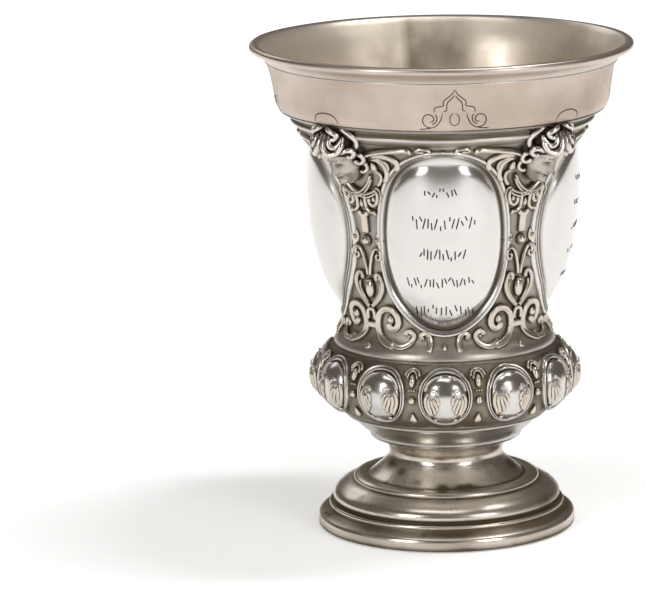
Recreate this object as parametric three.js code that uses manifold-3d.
// Kiddush cup: a lobed silver beaker with four oval cartouches and four cast masks,
// a knop ring of bosses and a hollow stepped foot.
// Millimetres, +Z up, origin in the middle of the foot's underside, one cartouche facing -Y.
// An azimuth is 0 at -Y and grows towards +X.

import * as THREE from 'three';
import { mergeVertices } from 'three/addons/utils/BufferGeometryUtils.js';
import Module from 'manifold-3d';

const wasm = await Module();
wasm.setup();

// ---------------------------------------------------------------- driving dimensions

const CUP_HEIGHT = 130;
const WALL = 1.2; // sheet thickness of the bowl
const FOOT_WALL = 1.1; // sheet thickness of the foot
const SEAM = 0.3; // clearance between two pieces that touch

const LIP_RADIUS = 50.6;
const FOOT_RADIUS = 34.4;
const FOOT_TOP = 24; // height at which the foot's neck meets the bowl
const NECK_RADIUS = 15.1; // narrowest part of the foot

const LOBES = 4; // cartouches, and piers between them
const LOBE_PITCH = (2 * Math.PI) / LOBES;
const LOBE_CURVE = 17.1; // radius of a lobe in plan
const LOBE_BLEND = 1.6; // radial width over which lobe and pier run together

const PANEL_LEVELS = [52.6, 55.4, 59.4, 65, 73, 82, 91, 99.6, 107.6]; // facets up the lobed body
const PANEL_BOTTOM = PANEL_LEVELS[0];
const PANEL_TOP = PANEL_LEVELS.at(-1);

const OVAL_CENTRE = 81.6; // height of the cartouches' middle
const OVAL_HALF_HEIGHT = 23.8;
const OVAL_HALF_ANGLE = THREE.MathUtils.degToRad(32);

const BOSSES = 12;
const BOSS_PITCH = (2 * Math.PI) / BOSSES;
const BOSS_HALF_ANGLE = THREE.MathUtils.degToRad(11);
const BOSS_HALF_ARC = THREE.MathUtils.degToRad(46); // half height, round the knop's section
const BOSS_MIDDLE = THREE.MathUtils.degToRad(-6);
const KNOP_RING = 27.5; // radius and height of the middle of the knop's section
const KNOP_HEIGHT = 41;
const KNOP_HALF_WIDTH = 6.5; // the section is half an oval
const KNOP_HALF_HEIGHT = 9;
const KNOP_LEVELS = [-80, -31, 17, 66].map(THREE.MathUtils.degToRad); // angles round the section
const KNOP_BOTTOM = KNOP_LEVELS[0];
const KNOP_TOP = KNOP_LEVELS.at(-1);

const MASK_RADIUS = 35.6; // distance of a mask's middle from the axis
const MASK_HEIGHT = 103.4;
const MASK_TILT = THREE.MathUtils.degToRad(34); // the faces look down by this much

const OUTSIDE_COLUMNS = 36; // facets round the bowl
const INSIDE_COLUMNS = 32;
const FOOT_SIDES = 30;

// ---------------------------------------------------------------- curves and points

// Smooth curve through a few [height, radius] stations with rising heights.
function curveThrough(stations) {
  const slopes = stations.map((station, i) => {
    const before = stations[Math.max(i - 1, 0)];
    const after = stations[Math.min(i + 1, stations.length - 1)];
    return (after[1] - before[1]) / (after[0] - before[0]);
  });
  return (height) => {
    const above = stations.findIndex((station) => station[0] > height);
    const i = above < 1 ? stations.length - 2 : above - 1;
    const [h0, r0] = stations[i];
    const [h1, r1] = stations[i + 1];
    const span = h1 - h0;
    const t = (height - h0) / span;
    return THREE.MathUtils.lerp(r0, r1, t)
      + t * (1 - t) * (span * (slopes[i] * (1 - t) - slopes[i + 1] * t) + (r1 - r0) * (2 * t - 1));
  };
}

// Radius of the body on the middle line of a lobe, and in the hollow of a pier.
const lobeLine = curveThrough([
  [49.7, 29.4], [52.6, 28.3], [56, 26.8], [60.5, 28.3], [67.3, 31.9], [73.8, 33.9], [80.3, 35.2],
  [86.7, 35.9], [93.2, 36.3], [99.6, 36.1], [103, 35.9], [105.8, 36.9], [107.7, 38.1],
]);
const pierLine = curveThrough([
  [49.7, 29.4], [52.6, 28], [56, 26.5], [62, 26.8], [70, 27.3], [77, 28], [85, 28.8],
  [92, 30], [98, 32], [103, 34.7], [105.8, 36.6], [107.7, 38.1],
]);

function bodyRadius(azimuth, height) {
  const fromLobe = azimuth - LOBE_PITCH * Math.round(azimuth / LOBE_PITCH);
  const centre = lobeLine(height) - LOBE_CURVE;
  const lobe = centre * Math.cos(fromLobe)
    + Math.sqrt(LOBE_CURVE ** 2 - (centre * Math.sin(fromLobe)) ** 2);
  const pier = pierLine(height);
  const overlap = Math.max(LOBE_BLEND - Math.abs(lobe - pier), 0);
  return Math.max(lobe, pier) + overlap ** 2 / (4 * LOBE_BLEND);
}

function onCup(azimuth, height, radius) {
  return new THREE.Vector3(radius * Math.sin(azimuth), -radius * Math.cos(azimuth), height);
}

function onBody(azimuth, height, lift) {
  return onCup(azimuth, height, bodyRadius(azimuth, height) + lift);
}

// Place on a pier, by the distance across it in millimetres.
function onPier(pier, across, height, lift) {
  const middle = (pier + 0.5) * LOBE_PITCH;
  return onBody(middle + across / pierLine(height), height, lift);
}

// Place on the knop, by the angle round its section.
function onKnop(azimuth, angle, lift) {
  const height = KNOP_HEIGHT + (KNOP_HALF_HEIGHT + lift) * Math.sin(angle);
  return onCup(azimuth, height, KNOP_RING + (KNOP_HALF_WIDTH + lift) * Math.cos(angle));
}

// ---------------------------------------------------------------- skins and solids

const TOUCHING = 1e-4;

// Facets between neighbouring rows of points. Each row runs anticlockwise seen from the outside
// of the row before it, and each next row lies further up, or further in on a panel.
function skin(rows) {
  const corners = [];
  for (let i = 0; i < rows.length - 1; i += 1) {
    for (let j = 0; j < rows[i].length - 1; j += 1) {
      const [a, b] = [rows[i][j], rows[i][j + 1]];
      const [d, c] = [rows[i + 1][j], rows[i + 1][j + 1]];
      if (a.distanceTo(b) > TOUCHING) corners.push(a, b, c);
      if (c.distanceTo(d) > TOUCHING) corners.push(a, c, d);
    }
  }
  return corners;
}

// A solid from skins that close on each other.
function solidOf(corners) {
  const geometry = new THREE.BufferGeometry().setFromPoints(corners);
  return toSolid(geometry);
}

function toSolid(geometry) {
  const bare = geometry.clone();
  bare.deleteAttribute('normal');
  bare.deleteAttribute('uv');
  const merged = mergeVertices(bare, TOUCHING);
  return new wasm.Manifold(new wasm.Mesh({
    numProp: 3,
    vertProperties: new Float32Array(merged.attributes.position.array),
    triVerts: new Uint32Array(merged.index.array),
  }));
}

function toGeometry(solid) {
  const mesh = solid.getMesh();
  const geometry = new THREE.BufferGeometry();
  geometry.setAttribute('position', new THREE.BufferAttribute(mesh.vertProperties.slice(), 3));
  geometry.setIndex(new THREE.BufferAttribute(mesh.triVerts.slice(), 1));
  geometry.computeVertexNormals();
  return geometry;
}

const joined = (solids) => solids.reduce((whole, solid) => whole.add(solid));

// A row round the whole bowl, closed on its first point.
function roundRow(columns, place) {
  return Array.from({ length: columns + 1 }, (_, i) => {
    const azimuth = ((i % columns) / columns) * 2 * Math.PI - LOBE_PITCH / 2;
    return place(azimuth);
  });
}

const turnedRows = (columns, profile) => profile.map(
  ([radius, height]) => roundRow(columns, (azimuth) => onCup(azimuth, height, radius)));

// ---------------------------------------------------------------- the bowl's outside

// Underside of the bowl and the small rings under the knop, as [radius, height].
const LOWER_PROFILE = [
  [0, FOOT_TOP + SEAM], [20.2, FOOT_TOP + SEAM], [22.4, 27], [24.6, 29.5], [26.8, 30.4], [26.8, 31.2],
];
// The edge over the knop.
const LEDGE_PROFILE = [[29.4, 49.8]];
// The moulding under the rim band, the band and the lip.
const UPPER_PROFILE = [
  [38.8, 108.6], [40.2, 109.7], [39.8, 110.6], [42.8, 112.4], [44.2, 117], [45.2, 122], [46.5, 125.8],
  [49.8, 128], [LIP_RADIUS, 128.6], [50.2, CUP_HEIGHT],
];

// A panel's rings from its frame's outer edge to the middle of its dome, as the parts of the
// oval's half width and half height that a ring lies at, and its rise from the wall.
const CARTOUCHE_RINGS = [
  [1.16, 1.07, 0], [1.13, 1.055, 0.4], [1.04, 1.02, 0.6], [1, 1, -0.6], [0.91, 0.92, -0.1],
  [0.5, 0.5, 0.1], [0, 0, 0.1],
];
const BOSS_RINGS = [[1.14, 1.14, 0], [1.08, 1.08, 0.8], [0.96, 0.96, 0.3], [0.52, 0.52, 2], [0, 0, 2.3]];

// A panel of the wall with an oval ornament in its middle. Its border is a rectangle in azimuth
// and level, where a level is a height on the body and an angle on the knop.
function panelRows({ columns, pitch, levels, oval, rings, place }) {
  const [low, high] = [levels[0], levels.at(-1)];
  const angles = Array.from({ length: columns }, (_, i) => (i / columns - 0.5) * pitch);
  const border = [
    ...angles.map((angle) => [angle, low]),
    ...levels.slice(0, -1).map((level) => [pitch / 2, level]),
    ...angles.map((angle) => [-angle, high]),
    ...levels.slice(1).reverse().map((level) => [-pitch / 2, level]),
    [-pitch / 2, low],
  ];
  const turns = border.map(([angle, level]) => Math.atan2(
    (level - oval.middle) / oval.halfHeight, angle / oval.halfAngle));
  const edge = border.map(([angle, level]) => place(angle, level, 0));
  const ring = ([partWide, partHigh, rise]) => turns.map((turn) => place(
    oval.halfAngle * partWide * Math.cos(turn),
    Math.min(oval.middle + oval.halfHeight * partHigh * Math.sin(turn), high),
    rise,
  ));
  return [edge, ...rings.map(ring)];
}

const cartouchePanel = (lobe, grow) => panelRows({
  columns: OUTSIDE_COLUMNS / LOBES,
  pitch: LOBE_PITCH,
  levels: PANEL_LEVELS,
  oval: { middle: OVAL_CENTRE, halfHeight: OVAL_HALF_HEIGHT, halfAngle: OVAL_HALF_ANGLE },
  rings: CARTOUCHE_RINGS,
  place: (angle, height, rise) => onBody(lobe * LOBE_PITCH + angle, height, rise + grow),
});

const bossPanel = (boss, grow) => panelRows({
  columns: OUTSIDE_COLUMNS / BOSSES,
  pitch: BOSS_PITCH,
  levels: KNOP_LEVELS,
  oval: { middle: BOSS_MIDDLE, halfHeight: BOSS_HALF_ARC, halfAngle: BOSS_HALF_ANGLE },
  rings: BOSS_RINGS,
  place: (angle, level, rise) => onKnop(boss * BOSS_PITCH + angle, level, rise + grow),
});

// The bowl as if it were full, made larger all round by grow.
function bowlOutside(grow) {
  const turnedPart = (profile) => turnedRows(
    OUTSIDE_COLUMNS, profile.map(([radius, height]) => [radius && radius + grow, height]));
  const row = (place) => roundRow(OUTSIDE_COLUMNS, place);
  const knopEdge = (angle) => row((azimuth) => onKnop(azimuth, angle, grow));
  const bodyEdge = (height) => row((azimuth) => onBody(azimuth, height, grow));
  const panels = [];
  for (let lobe = 0; lobe < LOBES; lobe += 1) panels.push(...skin(cartouchePanel(lobe, grow)));
  for (let boss = 0; boss < BOSSES; boss += 1) panels.push(...skin(bossPanel(boss, grow)));
  return solidOf([
    ...skin([...turnedPart(LOWER_PROFILE), knopEdge(KNOP_BOTTOM)]),
    ...skin([knopEdge(KNOP_TOP), ...turnedPart(LEDGE_PROFILE), bodyEdge(PANEL_BOTTOM)]),
    ...skin([bodyEdge(PANEL_TOP), ...turnedPart(UPPER_PROFILE), ...turnedPart([[0, CUP_HEIGHT]])]),
    ...panels,
  ]);
}

// ---------------------------------------------------------------- the hollow

// Inside of the knop and of the band; the lobed part between them follows the outside.
const LOWER_HOLLOW = [
  [0, 27.4], [18, 28.2], [26.4, 32.4], [30.4, 36.4], [31.6, 41.3], [30, 46.4], [27.4, 49.8],
];
const HOLLOW_LEVELS = [56, 62, 70, 80, 90, 98, 104.5];
const UPPER_HOLLOW = [
  [37.4, 108.6], [41.4, 113.4], [43, 119], [45, 125], [48.2, CUP_HEIGHT],
  [49, CUP_HEIGHT + 2], [0, CUP_HEIGHT + 2],
];
const HOLLOW_DEPTH = WALL + 0.25; // the wall is thicker where its relief is sunk

function bowlHollow() {
  const lobed = HOLLOW_LEVELS.map((height) => roundRow(
    INSIDE_COLUMNS, (azimuth) => onBody(azimuth, height, -HOLLOW_DEPTH)));
  return solidOf(skin([
    ...turnedRows(INSIDE_COLUMNS, LOWER_HOLLOW), ...lobed, ...turnedRows(INSIDE_COLUMNS, UPPER_HOLLOW),
  ]));
}

// ---------------------------------------------------------------- ornament on the wall

const ROOT = -1.1; // how deep ornament is let into the wall

// A raised three-sided strap along places given by their distance across and height.
function strap(place, path, halfWidth, rise) {
  const middles = path.map(([across, height]) => new THREE.Vector2(across, height));
  const sections = middles.map((middle, i) => {
    const before = middles[Math.max(i - 1, 0)];
    const after = middles[Math.min(i + 1, middles.length - 1)];
    const along = after.clone().sub(before).normalize();
    const side = new THREE.Vector2(along.y, -along.x).multiplyScalar(halfWidth);
    const left = middle.clone().sub(side);
    const right = middle.clone().add(side);
    const section = [
      place(left.x, left.y, ROOT),
      place(middle.x, middle.y, rise),
      place(right.x, right.y, ROOT),
    ];
    return [...section, section[0]];
  });
  const closed = (section) => section.map(() => section[1]);
  return solidOf(skin([closed(sections[0]), ...sections, closed(sections.at(-1))]));
}

// Mirror image of a path across the middle of its pier.
const mirrored = (path) => path.map(([across, height]) => [-across, height]);

// A bead or drop with eight facets.
function bead(place, across, height, radius, stretch) {
  const drop = new THREE.OctahedronGeometry(radius);
  const middle = place(across, height, 0);
  drop.scale(1, 1, stretch);
  drop.translate(middle.x, middle.y, middle.z);
  return toSolid(drop);
}

// Straps on the right half of a pier, as [across, height] from its middle line.
const LARGE_SCROLL = [[6, 56.6], [8.9, 57.6], [9, 61.6], [5.6, 63], [2.9, 59.4], [3.4, 54.8], [8.4, 51.4]];
const LYRE_ARM = [[3, 71.2], [4.9, 69.2], [3.4, 65.4], [0, 62.4]];
const STEM_ARM = [[4, 78], [2, 76.4], [0.2, 70.6]];
const STRAP_HALF_WIDTH = 0.75;
const STRAP_RISE = 1.1;

function pierOrnament(pier) {
  const place = (across, height, lift) => onPier(pier, across, height, lift);
  const straps = [LARGE_SCROLL, LYRE_ARM, STEM_ARM].flatMap((path) => [path, mirrored(path)])
    .map((path) => strap(place, path, STRAP_HALF_WIDTH, STRAP_RISE));
  return joined([
    ...straps,
    strap(place, [[0, 92.4], [0, 82.6]], 1.6, STRAP_RISE),
    bead(place, 0, 80.4, 1.6, 1.1),
    bead(place, 0, 67.4, 1.5, 2.2),
    ...[-1, 1].map((side) => bead(place, side * 6.4, 59.8, 1.5, 1.2)),
  ]);
}

function makeBowl() {
  const ornament = Array.from({ length: LOBES }, (_, pier) => pierOrnament(pier));
  return bowlOutside(0).add(joined(ornament)).subtract(bowlHollow());
}

// ---------------------------------------------------------------- the foot

// Outside from the top of the neck down to the edge it stands on, then the hollow underside.
const FOOT_OUTSIDE = [
  [0, FOOT_TOP], [16.6, FOOT_TOP], [NECK_RADIUS, 20.4], [15.7, 17.9], [17.8, 15.6], [21, 13.3],
  [24.7, 12.9], [24.7, 12.1], [28.4, 10.4], [30.4, 8.2], [30.2, 7.1], [32.6, 4.7], [34.3, 3],
  [FOOT_RADIUS, 0],
];
const FOOT_HOLLOW = [
  [32.8, 0], [28.8, 6.2], [23.3, 10.8], [16.4, 14.6], [14, 19], [14.4, FOOT_TOP - FOOT_WALL],
  [0, FOOT_TOP - FOOT_WALL],
];

function makeFoot() {
  const profile = [...FOOT_OUTSIDE, ...FOOT_HOLLOW].reverse();
  const geometry = new THREE.LatheGeometry(
    profile.map(([radius, height]) => new THREE.Vector2(radius, height)), FOOT_SIDES);
  geometry.rotateX(Math.PI / 2);
  return geometry;
}

// ---------------------------------------------------------------- the masks

// Turns a head's own frame (x across, y out of the face, z up) into its place on a pier.
function maskPlace(pier) {
  const azimuth = (pier + 0.5) * LOBE_PITCH;
  return new THREE.Matrix4().setPosition(onCup(azimuth, MASK_HEIGHT, MASK_RADIUS))
    .multiply(new THREE.Matrix4().makeRotationZ(azimuth + Math.PI))
    .multiply(new THREE.Matrix4().makeRotationX(-MASK_TILT));
}

// Parts of a head as [half width, half depth, half height, columns, rows, x, y, z].
const FACE = [4.5, 4.5, 6.8, 10, 7, 0, 0.2, 0];
const HAIR = [6.2, 4.6, 5.2, 10, 6, 0, 0.4, 5.2];
const NOSE = [0.9, 1.7, 1.7, 4, 2, 0, 4.2, -0.9];
const CHIN = [1.7, 1.5, 1.6, 5, 4, 0, 3.1, -5];
const NECK = [3.4, 4.4, 4.4, 6, 4, 0, -3, -2.8];
const SIDE_CURL = [2, 1.9, 3.6, 5, 4, 5, 0.2, 0.8];
const BROW_CURL = [2.2, 1.8, 1.7, 5, 4, 2.3, 3.2, 6.4];

function ball([width, depth, height, columns, rows, x, y, z], place) {
  const geometry = new THREE.SphereGeometry(1, columns, rows);
  geometry.rotateX(Math.PI / 2);
  geometry.scale(width, depth, height);
  geometry.translate(x, y, z);
  geometry.applyMatrix4(place);
  return toSolid(geometry);
}

// A head with curly hair that leans out from the top of a pier.
function makeMask(pier, keepClear) {
  const place = maskPlace(pier);
  const otherSide = ([width, depth, height, columns, rows, x, y, z]) => (
    [width, depth, height, columns, rows, -x, y, z]);
  const curls = [SIDE_CURL, BROW_CURL].flatMap((curl) => [curl, otherSide(curl)]);
  const parts = [FACE, HAIR, NOSE, CHIN, NECK, ...curls];
  return joined(parts.map((part) => ball(part, place))).subtract(keepClear);
}

// ---------------------------------------------------------------- the cup

const silver = (name, color, roughness) => new THREE.MeshStandardMaterial({
  name, color, roughness, metalness: 1,
});

function piece(name, geometry, material) {
  const mesh = new THREE.Mesh(geometry, material);
  mesh.name = name;
  return mesh;
}

const cup = new THREE.Group();
cup.add(piece('bowl', toGeometry(makeBowl()), silver('chased silver', 0xd9d4cb, 0.28)));
cup.add(piece('foot', makeFoot(), silver('spun silver', 0xb9b1a5, 0.3)));

const keepClear = bowlOutside(SEAM + 0.05);
const MASKS = ['mask_front_right', 'mask_back_right', 'mask_back_left', 'mask_front_left'];
MASKS.forEach((name, pier) => {
  cup.add(piece(name, toGeometry(makeMask(pier, keepClear)), silver('cast silver', 0xc4bcae, 0.34)));
});

export default cup;
